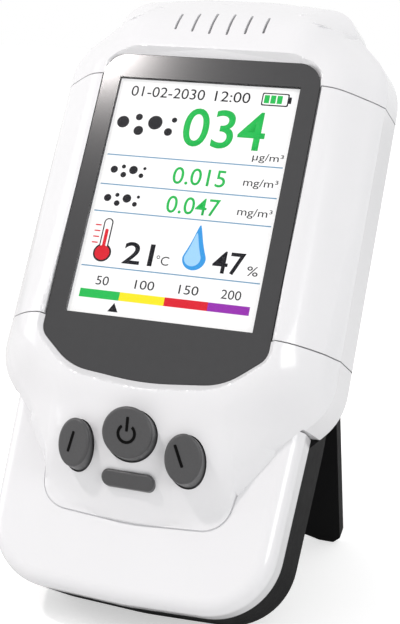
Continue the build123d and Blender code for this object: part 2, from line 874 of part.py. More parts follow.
# ---- Dust filter behind the vents ----
with BuildPart() as dust_filter:
    with BuildSketch(VENT.offset(-wall - filter_size[2])):
        Rectangle(filter_size[0], filter_size[1])
    extrude(amount=filter_size[2])
    add(mask_hollow, mode=Mode.INTERSECT)
dust_filter.part.label = "dust_filter"
export_step(dust_filter.part, "parts/dust_filter.step")


# ---- Charging board and socket ----
with BuildPart() as charging_board:
    width, height, _ = charging_board_size
    add(slab(charging_board_x, socket_y, width, height, charging_board_front, charging_board_back))
charging_board.part.label = "charging_board"
export_step(charging_board.part, "parts/charging_board.step")

with BuildPart() as usb_socket:
    socket_mouth = socket_x + socket_recess
    socket_front = socket_depth - socket_height / 2
    socket_middle = socket_mouth + socket_length / 2
    add(slab(socket_middle, socket_y, socket_length, socket_width, socket_front, charging_board_front))
    add(
        slab(
            socket_middle - socket_shell,
            socket_y,
            socket_length,
            socket_width - 2 * socket_shell,
            socket_front + socket_shell,
            charging_board_front - socket_shell,
        ),
        mode=Mode.SUBTRACT,
    )
    tongue_length = socket_length - 2 * socket_shell
    tongue_x = socket_mouth + socket_length - tongue_length / 2
    tongue_width = socket_width - 4 * socket_shell
    add(slab(tongue_x, socket_y, tongue_length, tongue_width, socket_depth - socket_shell, socket_depth))
usb_socket.part.label = "usb_socket"
export_step(usb_socket.part, "parts/usb_socket.step")


# ---- Screws ----
with BuildPart() as case_screws:
    for x, y in case_screw_spots:
        add(rod(x, y, case_screw_radius, case_screw_tip_depth, rear_depth - case_screw_head))
        add(rod(x, y, case_screw_head_radius, rear_depth - case_screw_head, rear_depth))
case_screws.part.label = "case_screws"
export_step(case_screws.part, "parts/case_screws.step")

with BuildPart() as board_screws:
    for x, y in board_screw_spots:
        add(rod(x, y, board_screw_radius, board_back - board_screw_length, board_back))
        add(rod(x, y, board_screw_head_radius, board_back, board_back + board_screw_head))
board_screws.part.label = "board_screws"
export_step(board_screws.part, "parts/board_screws.step")


# ---- Kickstand: it hangs from two pins and its feet are cut level with the heel ----
pivot = place(0, pivot_y, pivot_depth)
fall = math.asin(pivot.Z / stand_length)
opening_angle = fall - math.radians(lean)
STAND = Plane(origin=pivot, x_dir=(1, 0, 0), z_dir=(0, math.sin(fall), math.cos(fall)))
stop_reach = pivot_rise - stop_gap - math.sin(opening_angle) * stand_thickness / 2
stop_length = stop_reach / math.cos(opening_angle)
stop_half_width = knuckle_x - lug_offset - lug_width / 2 - knuckle_gap
tip = stand_length + stand_thickness


def stand_section(x):
    """Plane square to the pins at this x, with its own x axis down the stand."""
    return Plane(origin=STAND.from_local_coords(Vector(x, 0, 0)), x_dir=STAND.y_dir, z_dir=STAND.x_dir)


with BuildPart() as stand:
    with BuildSketch(STAND.offset(-stand_thickness / 2)):
        with BuildLine():
            Polyline(
                (stop_half_width, -stop_length),
                (stop_half_width, stand_shoulder),
                (stand_half_width, stand_shoulder),
                (stand_half_width, stand_length - stand_tip_chamfer),
                (stand_half_width - stand_tip_chamfer, stand_length),
                (stand_half_width - stand_tip_chamfer, tip),
                (stand_arch_half_width, tip),
                (stand_arch_half_width, stand_length),
            )
            ThreePointArc(
                (stand_arch_half_width, stand_length),
                (0, stand_length - stand_arch_rise),
                (-stand_arch_half_width, stand_length),
            )
            Polyline(
                (-stand_arch_half_width, stand_length),
                (-stand_arch_half_width, tip),
                (-stand_half_width + stand_tip_chamfer, tip),
                (-stand_half_width + stand_tip_chamfer, stand_length),
                (-stand_half_width, stand_length - stand_tip_chamfer),
                (-stand_half_width, stand_shoulder),
                (-stop_half_width, stand_shoulder),
                (-stop_half_width, -stop_length),
                (stop_half_width, -stop_length),
            )
        make_face()
    extrude(amount=stand_thickness)
    # ribs along both side edges
    with BuildSketch(STAND):
        rib_length = stand_length - stand_tip_chamfer - stand_shoulder
        rib_x = stand_half_width - stand_rib / 2
        with Locations(*both_sides((rib_x, stand_shoulder + rib_length / 2))):
            Rectangle(stand_rib, rib_length)
    extrude(amount=stand_thickness / 2 + stand_rib_height)
    # knuckles on the pins
    for x in (-knuckle_x, knuckle_x):
        with BuildSketch(stand_section(x - knuckle_width / 2)):
            Circle(knuckle_radius)
            with Locations((stand_shoulder / 2, 0)):
                Rectangle(stand_shoulder + stand_thickness, stand_thickness)
        extrude(amount=knuckle_width)
        with BuildSketch(stand_section(x - knuckle_width)):
            Circle(pin_radius + pin_gap)
        extrude(amount=2 * knuckle_width, mode=Mode.SUBTRACT)
    split(bisect_by=Plane.XY, keep=Keep.TOP)
stand.part.label = "stand"
export_step(stand.part, "parts/stand.step")

for side, name in ((-1, "left_hinge_pin"), (1, "right_hinge_pin")):
    pin_length = 2 * (lug_offset + lug_width / 2)
    pin_start = side * knuckle_x - pin_length / 2
    with BuildPart() as pin:
        with BuildSketch(MIDDLE.offset(pin_start)):
            with Locations((pivot_y, -pivot_depth)):
                Circle(pin_radius)
        extrude(amount=pin_length)
    pin.part.label = name
    export_step(pin.part, f"parts/{name}.step")
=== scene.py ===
import math

import bpy
import numpy as np
from mathutils import Matrix, Vector


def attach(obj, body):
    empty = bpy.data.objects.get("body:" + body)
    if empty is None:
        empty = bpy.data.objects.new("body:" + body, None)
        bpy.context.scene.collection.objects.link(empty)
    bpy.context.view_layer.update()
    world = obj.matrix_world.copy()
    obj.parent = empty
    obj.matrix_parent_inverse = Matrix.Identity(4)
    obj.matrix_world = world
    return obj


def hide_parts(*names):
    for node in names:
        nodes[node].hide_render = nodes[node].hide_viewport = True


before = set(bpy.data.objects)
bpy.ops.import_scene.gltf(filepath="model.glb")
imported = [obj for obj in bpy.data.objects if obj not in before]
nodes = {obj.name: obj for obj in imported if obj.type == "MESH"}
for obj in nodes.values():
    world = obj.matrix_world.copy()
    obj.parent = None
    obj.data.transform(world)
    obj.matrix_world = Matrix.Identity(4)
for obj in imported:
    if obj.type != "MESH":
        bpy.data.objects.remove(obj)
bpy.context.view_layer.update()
bpy.ops.object.select_all(action="DESELECT")

# The case leans back on its stand. Places on it are given in millimetres as (x, y, depth): x runs
# across, y runs up the case from the lower edge of the screen, depth runs back from the lens face.
MM = 0.001
LEAN = math.radians(30)
CASE_ORIGIN = Vector((0, -25.9205, 68.1919)) * MM
UP_THE_CASE = Vector((0, math.sin(LEAN), math.cos(LEAN)))
OUTWARD = Vector((0, -math.cos(LEAN), math.sin(LEAN)))
CASE = Matrix.Translation(CASE_ORIGIN) @ Matrix.Rotation(math.pi / 2 - LEAN, 4, "X")

# ---- Screen and lens ----
SCREEN_WIDTH = 43.2
SCREEN_HEIGHT = 57.6
SCREEN_DEPTH = 1.15
LCD_FRONT = 2.2
INK_THICKNESS = 0.03
WINDOW_CLEARNESS = 0.96

# ---- Keys: the middle of each face as (x, y, depth), and how the faces lean ----
POWER_FACE = (0, -25.5, -3.6)
LEFT_FACE = (-12.33, -28.8, -0.972)
RIGHT_FACE = (12.33, -28.8, -0.972)
KEY_TILT = math.radians(20)
NOSE_CROWN_RADIUS = 50.8

# ---- Places of the colour sockets on a Mix node ----
MIX_COLOUR_A = 6
MIX_COLOUR_B = 7
MIX_COLOUR_OUT = 2


# ======== Shader maths ========
class Shade:
    """A value that changes over a surface. Arithmetic on it adds Math nodes."""

    def __init__(self, graph, socket):
        self.graph = graph
        self.socket = socket

    def math(self, operation, *values):
        return self.graph.node("ShaderNodeMath", {"operation": operation}, values)

    def __add__(self, other):
        return self.math("ADD", self, other)

    def __radd__(self, other):
        return self.math("ADD", other, self)

    def __sub__(self, other):
        return self.math("SUBTRACT", self, other)

    def __rsub__(self, other):
        return self.math("SUBTRACT", other, self)

    def __mul__(self, other):
        return self.math("MULTIPLY", self, other)

    def __rmul__(self, other):
        return self.math("MULTIPLY", other, self)

    def __lt__(self, other):
        return self.math("LESS_THAN", self, other)

    def __abs__(self):
        return self.math("ABSOLUTE", self)


class Graph:
    """A node tree. Every node of it is added by one method."""

    def __init__(self, tree):
        self.tree = tree

    def node(self, kind, settings=None, inputs=(), output=0):
        """Adds a node, gives it its settings, then its inputs, and returns one of its outputs."""
        made = self.tree.nodes.new(kind)
        for name, value in (settings or {}).items():
            setattr(made, name, value)
        pairs = inputs.items() if isinstance(inputs, dict) else enumerate(inputs)
        for key, value in pairs:
            if isinstance(value, Shade):
                self.tree.links.new(value.socket, made.inputs[key])
            else:
                made.inputs[key].default_value = value
        return Shade(self, made.outputs[output])


class Finish(Graph):
    """One material. Constant sockets are set by name, varying ones are linked."""

    def __init__(self, name, **constants):
        self.material = bpy.data.materials.new(name)
        self.material.use_nodes = True
        super().__init__(self.material.node_tree)
        self.shader = self.tree.nodes["Principled BSDF"]
        for socket, value in constants.items():
            self.shader.inputs[socket.replace("_", " ")].default_value = value

    def set(self, socket, value):
        """Links a varying value to one of the shader's sockets."""
        self.tree.links.new(value.socket, self.shader.inputs[socket])

    def place(self):
        """Object coordinates."""
        return self.node("ShaderNodeTexCoord", output="Object")

    def along(self, direction, start):
        """How far a point lies along a direction from a start, in metres."""
        values = (self.place(), tuple(direction))
        reach = self.node("ShaderNodeVectorMath", {"operation": "DOT_PRODUCT"}, values, "Value")
        return reach - start.dot(direction)

    def noise(self, scale, detail=2.0, roughness=0.5):
        """Noise from 0 to 1 whose grains are 1 / scale metres apart."""
        values = {"Vector": self.place(), "Scale": scale, "Detail": detail, "Roughness": roughness}
        return self.node("ShaderNodeTexNoise", inputs=values)

    def mix(self, mask, low, high):
        """Goes from one colour to another as the mask goes from 0 to 1."""
        values = {"Factor": mask, MIX_COLOUR_A: low, MIX_COLOUR_B: high}
        return self.node("ShaderNodeMix", {"data_type": "RGBA"}, values, output=MIX_COLOUR_OUT)

    def bump(self, height, distance, strength=1.0):
        """Raises the surface by height times distance, through its normal."""
        values = {"Height": height, "Distance": distance, "Strength": strength}
        self.set("Normal", self.node("ShaderNodeBump", inputs=values))


def tone(colour, factor):
    """A darker or lighter tone of a colour."""
    return tuple(factor * part for part in colour[:3]) + (1.0,)


# ======== Finishes ========
def moulded_gloss(name, colour, roughness):
    """Glossy moulded plastic: faint clouding of the pigment and a very slight orange peel."""
    finish = Finish(name, Coat_Roughness=0.06, Coat_Weight=0.35)
    clouding = finish.noise(60.0)
    finish.set("Base Color", finish.mix(clouding, tone(colour, 0.97), colour))
    finish.set("Roughness", finish.noise(900.0) * 0.06 + (roughness - 0.03))
    finish.bump(finish.noise(700.0, 1.0), 0.00002, 0.25)
    return finish


def moulded_satin(name, colour, roughness, grain=2600.0, depth=0.00006, shine=0.5):
    """Spark-eroded satin plastic: an even fine grain that scatters the light."""
    finish = Finish(name, Specular_IOR_Level=shine)
    speck = finish.noise(grain, 3.0, 0.6)
    finish.set("Base Color", finish.mix(speck, colour, tone(colour, 1.25)))
    finish.set("Roughness", finish.noise(400.0) * 0.1 + (roughness - 0.05))
    finish.bump(speck, depth, 0.5)
    return finish


def metal(name, colour, roughness):
    """Plated or stamped metal with fine rolling marks."""
    finish = Finish(name, Metallic=1.0)
    marks = finish.noise(1800.0, 2.0)
    finish.set("Base Color", finish.mix(marks, tone(colour, 0.85), colour))
    finish.set("Roughness", marks * 0.12 + (roughness - 0.06))
    finish.bump(marks, 0.00001, 0.3)
    return finish


def ink(name, colour):
    """A colour on the lit screen, part of it reflected and part of it glowing."""
    finish = Finish(name, Roughness=0.5, Specular_IOR_Level=0.1, Emission_Strength=0.62)
    pixels = finish.noise(3000.0, 1.0)
    finish.set("Base Color", finish.mix(pixels, tone(colour, 0.5), tone(colour, 0.55)))
    finish.set("Emission Color", finish.mix(pixels, colour, tone(colour, 0.97)))
    return finish


white_plastic = moulded_gloss("white_gloss_plastic", (0.80, 0.80, 0.815, 1.0), 0.20)
black_plastic = moulded_satin("black_satin_plastic", (0.0095, 0.0095, 0.0098, 1.0), 0.45, shine=0.02)
key_plastic = moulded_satin("key_plastic", (0.06, 0.06, 0.062, 1.0), 0.36, shine=0.4)
dark_plastic = moulded_satin("dark_plastic", (0.03, 0.03, 0.03, 1.0), 0.5)
tray_plastic = moulded_satin("tray_plastic", (0.5, 0.5, 0.5, 1.0), 0.5)
board_mask = moulded_gloss("board_solder_mask", (0.01, 0.09, 0.03, 1.0), 0.3)
foam = moulded_satin("filter_foam", (0.06, 0.06, 0.06, 1.0), 0.95, 900.0, 0.0004)
foil = metal("battery_foil", (0.55, 0.57, 0.6, 1.0), 0.3)
steel = metal("plated_steel", (0.55, 0.55, 0.55, 1.0), 0.3)
brass = metal("brass", (0.6, 0.42, 0.16, 1.0), 0.3)
mark_paint = moulded_satin("key_mark", (0.003, 0.003, 0.003, 1.0), 0.7, shine=0.05)


def lens_finish():
    """Acrylic with a dark border printed behind it, clear over the screen."""
    finish = Finish("lens_acrylic", Roughness=0.14, IOR=1.49)
    across = finish.along(Vector((1, 0, 0)), CASE_ORIGIN)
    up = finish.along(UP_THE_CASE, CASE_ORIGIN)
    inside_width = abs(across) < SCREEN_WIDTH / 2 * MM
    inside_height = abs(up - SCREEN_HEIGHT / 2 * MM) < SCREEN_HEIGHT / 2 * MM
    window = inside_width * inside_height
    border = (finish.noise(500.0), (0.032, 0.032, 0.034, 1.0), (0.036, 0.036, 0.038, 1.0))
    finish.set("Base Color", finish.mix(*border))
    finish.set("Alpha", 1.0 - window * WINDOW_CLEARNESS)
    return finish


lens_acrylic = lens_finish()

NODE_FINISHES = {
    "front_cover": white_plastic,
    "left_side_panel": white_plastic,
    "right_side_panel": white_plastic,
    "lower_cover": white_plastic,
    "rear_cover": black_plastic,
    "stand": black_plastic,
    "display_lens": lens_acrylic,
    "power_button": key_plastic,
    "left_button": key_plastic,
    "right_button": key_plastic,
    "status_window": key_plastic,
    "lcd_panel": dark_plastic,
    "lcd_tray": tray_plastic,
    "power_plunger": dark_plastic,
    "left_plunger": dark_plastic,
    "right_plunger": dark_plastic,
    "power_switch": steel,
    "left_switch": steel,
    "right_switch": steel,
    "main_board": board_mask,
    "charging_board": board_mask,
    "formaldehyde_sensor": steel,
    "vapour_sensor": steel,
    "buzzer": dark_plastic,
    "humidity_sensor": tray_plastic,
    "processor": dark_plastic,
    "battery": foil,
    "sensor_tray": tray_plastic,
    "sensor_lid": tray_plastic,
    "fan_axle": steel,
    "fan_impeller": dark_plastic,
    "laser_diode": brass,
    "photodiode": dark_plastic,
    "dust_filter": foam,
    "usb_socket": steel,
    "case_screws": steel,
    "board_screws": steel,
    "left_hinge_pin": steel,
    "right_hinge_pin": steel,
}


def give(obj, finish):
    """Gives a piece its one material."""
    obj.data.materials.clear()
    obj.data.materials.append(finish.material)


for node_name, node_finish in NODE_FINISHES.items():
    give(nodes[node_name], node_finish)


# ======== White covers: the CAD forms with their valleys and ridges eased ========
# The mask is made of four forms: shoulders, cap, nose, and a web between the shoulders and the nose.
# All sizes are in millimetres, and a smaller depth stands further out.
# An outline lists (x, y, corner radius) down its right side. A rise gives the depth of the flank at
# steps inwards from the outline. A brow gives the depth of the form's face at steps up the case.
SHOULDER_OUTLINE = ((30.4, 77.5, 0), (40.2, 67.7, 14.5), (40.2, -12.0, 14.5), (25.1, -28.6, 0))
SHOULDER_RISE = ((0, 1.196, 4.217, 7.693, 11.69), (19.2, 11.0, 7.4, 3.8, 0.2))
CAP_OUTLINE = ((0, 87.0, 60), (29.4, 84.0, 9), (31.0, 74.0, 20), (31.0, 50.0, 0))
CAP_RISE = ((0, 1.196, 11.04), (19.2, 11.0, -1.6))
CAP_BROW = ((50.0, -1.6, 0), (70.5, -1.6, 15), (83.2, 7.0, 7), (85.9, 19.2, 0))
NOSE_OUTLINE = ((22.9, 0, 0), (22.9, -27.0, 20), (20.8, -41.2, 6.5), (0, -42.6, 60))
NOSE_RISE = ((0, 3.13), (10.5, -1.6))
NOSE_BROW = ((-60.0, 22.82, 0), (-27.0, -1.6, 15), (1.0, -1.6, 0))
NOSE_FOOT = 10.25
NOSE_AXIS_DEPTH = 49.2
WEB_OUTLINE = ((28.6, 0, 0), (28.6, -23.5, 0), (22.3, -33.0, 0))
WEB_RISE = ((0, 3.5), (10.5, 7.0))
LENS_OUTLINE = ((25.9, 63.4, 3.0), (25.9, -5.2, 4), (17.5, -12.2, 14), (0, -14.0, 60))
OUTSIDE_FALL = 4
NO_FOOT = 60

# Widths over which corners are rounded. SHARP leaves them as they are.
SHARP = 0.001
RIDGE = 2.5
VALLEY = 6.0
FOOT_VALLEY = 1.5
SOFTENING = 2.0
BELL_WIDTHS = 3

# The softened face is worked out on a grid, down to where the covers meet.
GRID_STEP = 0.5
GRID_SPAN_X = (-50, 50)
GRID_SPAN_Y = (-60, 100)
DEEPEST = 10.5

# Collar: the raised ground round the lower half of the lens, which falls away from it.
COLLAR_DEPTH = -1.4
COLLAR_SLOPE = 0.15
COLLAR_BEND = 0.06
COLLAR_FADE = 0.12
COLLAR_BLEND = 3.0

# Bezel: the slanted edge from the lens up to the collar.
BEZEL_DEPTH = 0.1
BEZEL_SLOPE = 1.15
BEZEL_REACH = 2.5

# How the face is divided, and how its movement fades out towards the edges of a cover.
SKIN_TOLERANCE = 0.12
LEAST_MOVE = 0.04
FACE_STEPS = (16, 8, 5)
MIDDLING = 1.4
FINE_STEPS = (3, 2, MIDDLING, MIDDLING, 0.8, 0.6)
EDGE_DEPTH = 10.5
EDGE_FADE = 2.5
NOSE_FADE = 1.5
SMOOTH_UNDER = math.radians(27)
FLAT_UNDER = math.radians(1)
WELD = 0.001 * MM
ARC_STEPS = 12


def rounded(corners, close):
    """Points along an open or a closed line of (x, y, radius) corners, with the corners rounded."""
    count = len(corners)
    points = []
    for index, (x, y, radius) in enumerate(corners):
        here = np.array((x, y), float)
        if radius == 0 or (not close and index in (0, count - 1)):
            points.append(here)
            continue
        before = np.array(corners[index - 1][:2], float) - here
        after = np.array(corners[(index + 1) % count][:2], float) - here
        before /= np.linalg.norm(before)
        after /= np.linalg.norm(after)
        half = math.acos(float(np.clip(before @ after, -1, 1))) / 2
        centre = here + (before + after) / np.linalg.norm(before + after) * radius / math.sin(half)
        start = here + before * radius / math.tan(half) - centre
        end = here + after * radius / math.tan(half) - centre
        turn = math.atan2(start[0] * end[1] - start[1] * end[0], start @ end)
        for step in range(ARC_STEPS + 1):
            angle = turn * step / ARC_STEPS
            cos, sin = math.cos(angle), math.sin(angle)
            points.append(centre + (start[0] * cos - start[1] * sin, start[0] * sin + start[1] * cos))
    return np.array(points)


def both_sides(corners):
    """The corners down the right side of an outline, carried on up its left side."""
    return list(corners) + [(-x, y, radius) for x, y, radius in reversed(corners) if x > 0]


def inset_from(outline, x, y):
    """How far inside a closed outline each point is; negative outside it."""
    run = np.roll(outline, -1, axis=0) - outline
    px = x[:, None] - outline[None, :, 0]
    py = y[:, None] - outline[None, :, 1]
    length = np.maximum((run ** 2).sum(axis=1), 1e-12)
    part = np.clip((px * run[:, 0] + py * run[:, 1]) / length, 0, 1)
    distance = np.hypot(px - part * run[:, 0], py - part * run[:, 1]).min(axis=1)
    rises = (outline[None, :, 1] > y[:, None]) != ((outline + run)[None, :, 1] > y[:, None])
    slope = np.where(run[:, 1] == 0, 1e-12, run[:, 1])
    crossing = outline[None, :, 0] + py * run[:, 0] / slope > x[:, None]
    inside = (rises & crossing).sum(axis=1) % 2 == 1
    return np.where(inside, distance, -distance)


def rise(outline, steps, x, y):
    """Depth of a form's flank, carried on steeply outside its outline."""
    inset = inset_from(outline, x, y)
    depth = np.interp(inset, steps[0], steps[1])
    return depth + np.maximum(-inset, 0) * OUTSIDE_FALL


def ease(low, high, blend):
    """The lesser of two depths, with the corner between them rounded over blend millimetres."""
    overlap = np.maximum(blend - np.abs(low - high), 0) / blend
    return np.minimum(low, high) - overlap ** 2 * blend / 4


OUTLINES = {
    "shoulder": rounded(both_sides(SHOULDER_OUTLINE), True),
    "cap": rounded(both_sides(CAP_OUTLINE), True),
    "nose": rounded(both_sides(NOSE_OUTLINE), True),
    "web": rounded(both_sides(WEB_OUTLINE), True),
    "lens": rounded(both_sides(LENS_OUTLINE), True),
}
cap_brow = rounded(CAP_BROW, False)
nose_brow = rounded(NOSE_BROW, False)


def mask_depths(x, y, ridge, valley):
    """Depth of the mask's face with its ridges and valleys rounded over these widths."""
    shoulder = rise(OUTLINES["shoulder"], SHOULDER_RISE, x, y)
    cap_face = np.interp(y, cap_brow[:, 0], cap_brow[:, 1])
    cap = -ease(-rise(OUTLINES["cap"], CAP_RISE, x, y), -cap_face, ridge)
    middle = NOSE_AXIS_DEPTH - np.interp(y, nose_brow[:, 0], nose_brow[:, 1])
    crown = NOSE_AXIS_DEPTH - np.sqrt(np.maximum(middle ** 2 - x ** 2, 1))
    nose = -ease(-rise(OUTLINES["nose"], NOSE_RISE, x, y), -crown, ridge)
    foot = np.where(inset_from(OUTLINES["nose"], x, y) > 0, NOSE_FOOT, NO_FOOT)
    nose = ease(nose, foot, min(valley, FOOT_VALLEY))
    web = rise(OUTLINES["web"], WEB_RISE, x, y)
    lower = ease(ease(shoulder, web, valley), nose, valley)
    return ease(lower, cap, valley)


def softened(depths):
    """A grid of depths averaged over a bell about every point."""
    reach = math.ceil(BELL_WIDTHS * SOFTENING / GRID_STEP)
    bell = np.exp(-((np.arange(-reach, reach + 1) * GRID_STEP / SOFTENING) ** 2) / 2)
    bell /= bell.sum()
    for axis in (0, 1):
        padding = [(reach, reach) if other == axis else (0, 0) for other in (0, 1)]
        padded = np.pad(depths, padding, mode="edge")
        depths = np.apply_along_axis(np.convolve, axis, padded, bell, mode="valid")
    return depths


def eased_grid(x, y):
    """Depth of the softened face at each place of a grid, with the collar and without the bezel."""
    flat_x, flat_y = x.ravel(), y.ravel()
    from_lens = np.maximum(-inset_from(OUTLINES["lens"], flat_x, flat_y), 0)
    collar = COLLAR_DEPTH + COLLAR_SLOPE * from_lens + COLLAR_BEND * from_lens ** 2
    collar += COLLAR_FADE * np.maximum(flat_y, 0)
    depths = np.minimum(mask_depths(flat_x, flat_y, RIDGE, VALLEY), DEEPEST)
    return softened(ease(depths, collar, COLLAR_BLEND).reshape(x.shape))


grid_steps = [np.arange(start, end, GRID_STEP) for start, end in (GRID_SPAN_X, GRID_SPAN_Y)]
grid_depths = eased_grid(*np.meshgrid(*grid_steps, indexing="ij"))


def soft_depths(x, y):
    """Depth of the softened face, read between the grid's places, with the bezel cut into it."""
    column = np.clip((x - GRID_SPAN_X[0]) / GRID_STEP, 0, grid_depths.shape[0] - 1.001)
    row = np.clip((y - GRID_SPAN_Y[0]) / GRID_STEP, 0, grid_depths.shape[1] - 1.001)
    left, low = column.astype(int), row.astype(int)
    across, up = column - left, row - low
    below = grid_depths[left, low] * (1 - across) + grid_depths[left + 1, low] * across
    above = grid_depths[left, low + 1] * (1 - across) + grid_depths[left + 1, low + 1] * across
    bezel = BEZEL_DEPTH + BEZEL_SLOPE * inset_from(OUTLINES["lens"], x, y)
    return np.maximum(below * (1 - up) + above * up, bezel)


def vertex_places(obj):
    """Place of each vertex of a piece in metres, one row each."""
    coordinates = np.empty(len(obj.data.vertices) * 3)
    obj.data.vertices.foreach_get("co", coordinates)
    return coordinates.reshape(-1, 3)


def case_places(obj):
    """x, y and depth on the case in millimetres of each vertex of a piece."""
    places = (vertex_places(obj) - np.array(CASE_ORIGIN)) / MM
    return places[:, 0], places @ np.array(UP_THE_CASE), -(places @ np.array(OUTWARD))


def refine(obj, longest, only_moving):
    """Divides long edges of the face, all of them or only those that the softening moves."""
    x, y, depth = case_places(obj)
    sharp = mask_depths(x, y, SHARP, SHARP)
    on_face = np.abs(depth - sharp) < SKIN_TOLERANCE
    ends = np.empty(len(obj.data.edges) * 2, int)
    obj.data.edges.foreach_get("vertices", ends)
    ends = ends.reshape(-1, 2)
    lengths = np.sqrt(sum((axis[ends[:, 0]] - axis[ends[:, 1]]) ** 2 for axis in (x, y, depth)))
    chosen = (lengths > longest) & on_face[ends].all(axis=1)
    if only_moving:
        moving = np.abs(soft_depths(x, y) - sharp) > LEAST_MOVE
        beside_lens = -inset_from(OUTLINES["lens"], x, y) < BEZEL_REACH
        chosen &= moving[ends].any(axis=1)
        chosen &= (lengths > MIDDLING) | beside_lens[ends].any(axis=1)
    if not chosen.any():
        return
    bpy.ops.object.mode_set(mode="EDIT")
    bpy.ops.mesh.select_mode(type="EDGE")
    bpy.ops.mesh.select_all(action="DESELECT")
    bpy.ops.object.mode_set(mode="OBJECT")
    obj.data.edges.foreach_set("select", chosen)
    bpy.ops.object.mode_set(mode="EDIT")
    bpy.ops.mesh.subdivide(number_cuts=1)
    bpy.ops.mesh.select_all(action="SELECT")
    bpy.ops.mesh.quads_convert_to_tris(quad_method="BEAUTY", ngon_method="BEAUTY")
    bpy.ops.mesh.beautify_fill(angle_limit=FLAT_UNDER)
    bpy.ops.object.mode_set(mode="OBJECT")


def soften(obj):
    """Moves the face of a white cover from the sharp form to the softened one."""
    x, y, depth = case_places(obj)
    sharp = mask_depths(x, y, SHARP, SHARP)
    fade = np.clip((EDGE_DEPTH - sharp) / EDGE_FADE, 0, 1)
    fade = np.maximum(fade, np.clip(inset_from(OUTLINES["nose"], x, y) / NOSE_FADE, 0, 1))
    on_face = np.abs(depth - sharp) < SKIN_TOLERANCE
    move = np.where(on_face, (sharp - soft_depths(x, y)) * fade, 0)
    places = vertex_places(obj) + move[:, None] * MM * np.array(OUTWARD)
    obj.data.vertices.foreach_set("co", places.ravel())
    obj.data.update()


def eased_cover(node_name, name):
    """Copy of a white cover whose ridges and valleys are rounded as a mould's are."""
    obj = bpy.data.objects.new(name, nodes[node_name].data.copy())
    bpy.context.scene.collection.objects.link(obj)
    bpy.ops.object.select_all(action="DESELECT")
    obj.select_set(True)
    bpy.context.view_layer.objects.active = obj
    bpy.ops.mesh.customdata_custom_splitnormals_clear()
    bpy.ops.object.mode_set(mode="EDIT")
    bpy.ops.mesh.select_all(action="SELECT")
    bpy.ops.mesh.remove_doubles(threshold=WELD)
    bpy.ops.object.mode_set(mode="OBJECT")
    for longest in FACE_STEPS:
        refine(obj, longest, False)
    for longest in FINE_STEPS:
        refine(obj, longest, True)
    soften(obj)
    bpy.ops.object.shade_smooth_by_angle(angle=SMOOTH_UNDER)
    give(obj, white_plastic)
    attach(obj, "case")
    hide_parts(node_name)
    obj.select_set(False)


eased_cover("front_cover", "front_cover_skin")
eased_cover("left_side_panel", "left_side_skin")
eased_cover("right_side_panel", "right_side_skin")


# ======== Making pieces ========
def settle(obj, matrix, name, finish, body):
    """Puts a piece that was made flat at its place, with the place in its mesh."""
    obj.name = name
    obj.data.name = name
    obj.matrix_world = matrix
    bpy.ops.object.select_all(action="DESELECT")
    obj.select_set(True)
    bpy.context.view_layer.objects.active = obj
    bpy.ops.object.transform_apply(location=True, rotation=True, scale=True)
    give(obj, finish)
    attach(obj, body)
    obj.select_set(False)


def on_case(x, y, depth):
    """Matrix of a spot on the case: local x across, y up the case, z outward, in metres."""
    return CASE @ Matrix.Translation(Vector((x, y, -depth)) * MM)


def on_key(face, x, y, turn=0.0):
    """Matrix of a spot on a key's face."""
    crown = math.asin(face[0] / NOSE_CROWN_RADIUS)
    lean = Matrix.Rotation(crown, 4, "Y") @ Matrix.Rotation(KEY_TILT, 4, "X")
    spin = Matrix.Rotation(turn, 4, "Z")
    return on_case(*face) @ lean @ Matrix.Translation(Vector((x, y, 0)) * MM) @ spin


def thicken(thickness):
    """Raises the flat mesh in edit mode into a closed plate and returns to object mode."""
    bpy.ops.mesh.select_all(action="SELECT")
    bpy.ops.mesh.extrude_region_move(TRANSFORM_OT_translate={"value": (0, 0, thickness * MM)})
    bpy.ops.mesh.select_all(action="SELECT")
    bpy.ops.mesh.normals_make_consistent(inside=False)
    bpy.ops.object.mode_set(mode="OBJECT")
    return bpy.context.active_object


def plate(width, height, thickness, corner=0.0):
    """Plate centred on the origin with its back at z = 0 and its upright edges rounded."""
    bpy.ops.mesh.primitive_plane_add(size=1)
    bpy.ops.object.mode_set(mode="EDIT")
    bpy.ops.transform.resize(value=(width * MM, height * MM, 1))
    if corner > 0:
        bpy.ops.mesh.bevel(offset=corner * MM, segments=6, affect="VERTICES")
    return thicken(thickness)


def disc(radius, thickness, sides=32):
    """Disc centred on the origin with its back at z = 0."""
    bpy.ops.mesh.primitive_circle_add(vertices=sides, radius=radius * MM, fill_type="NGON")
    bpy.ops.object.mode_set(mode="EDIT")
    return thicken(thickness)


def drop(radius, point, thickness):
    """Drop: a disc whose top is drawn up to a point and narrowed."""
    bpy.ops.mesh.primitive_circle_add(vertices=48, radius=radius * MM, fill_type="NGON")
    for vertex in bpy.context.active_object.data.vertices:
        height = max(vertex.co.y / (radius * MM), 0)
        vertex.co.y += point * MM * height ** 3
        vertex.co.x *= 1 - 0.55 * height ** 2
    bpy.ops.object.mode_set(mode="EDIT")
    return thicken(thickness)


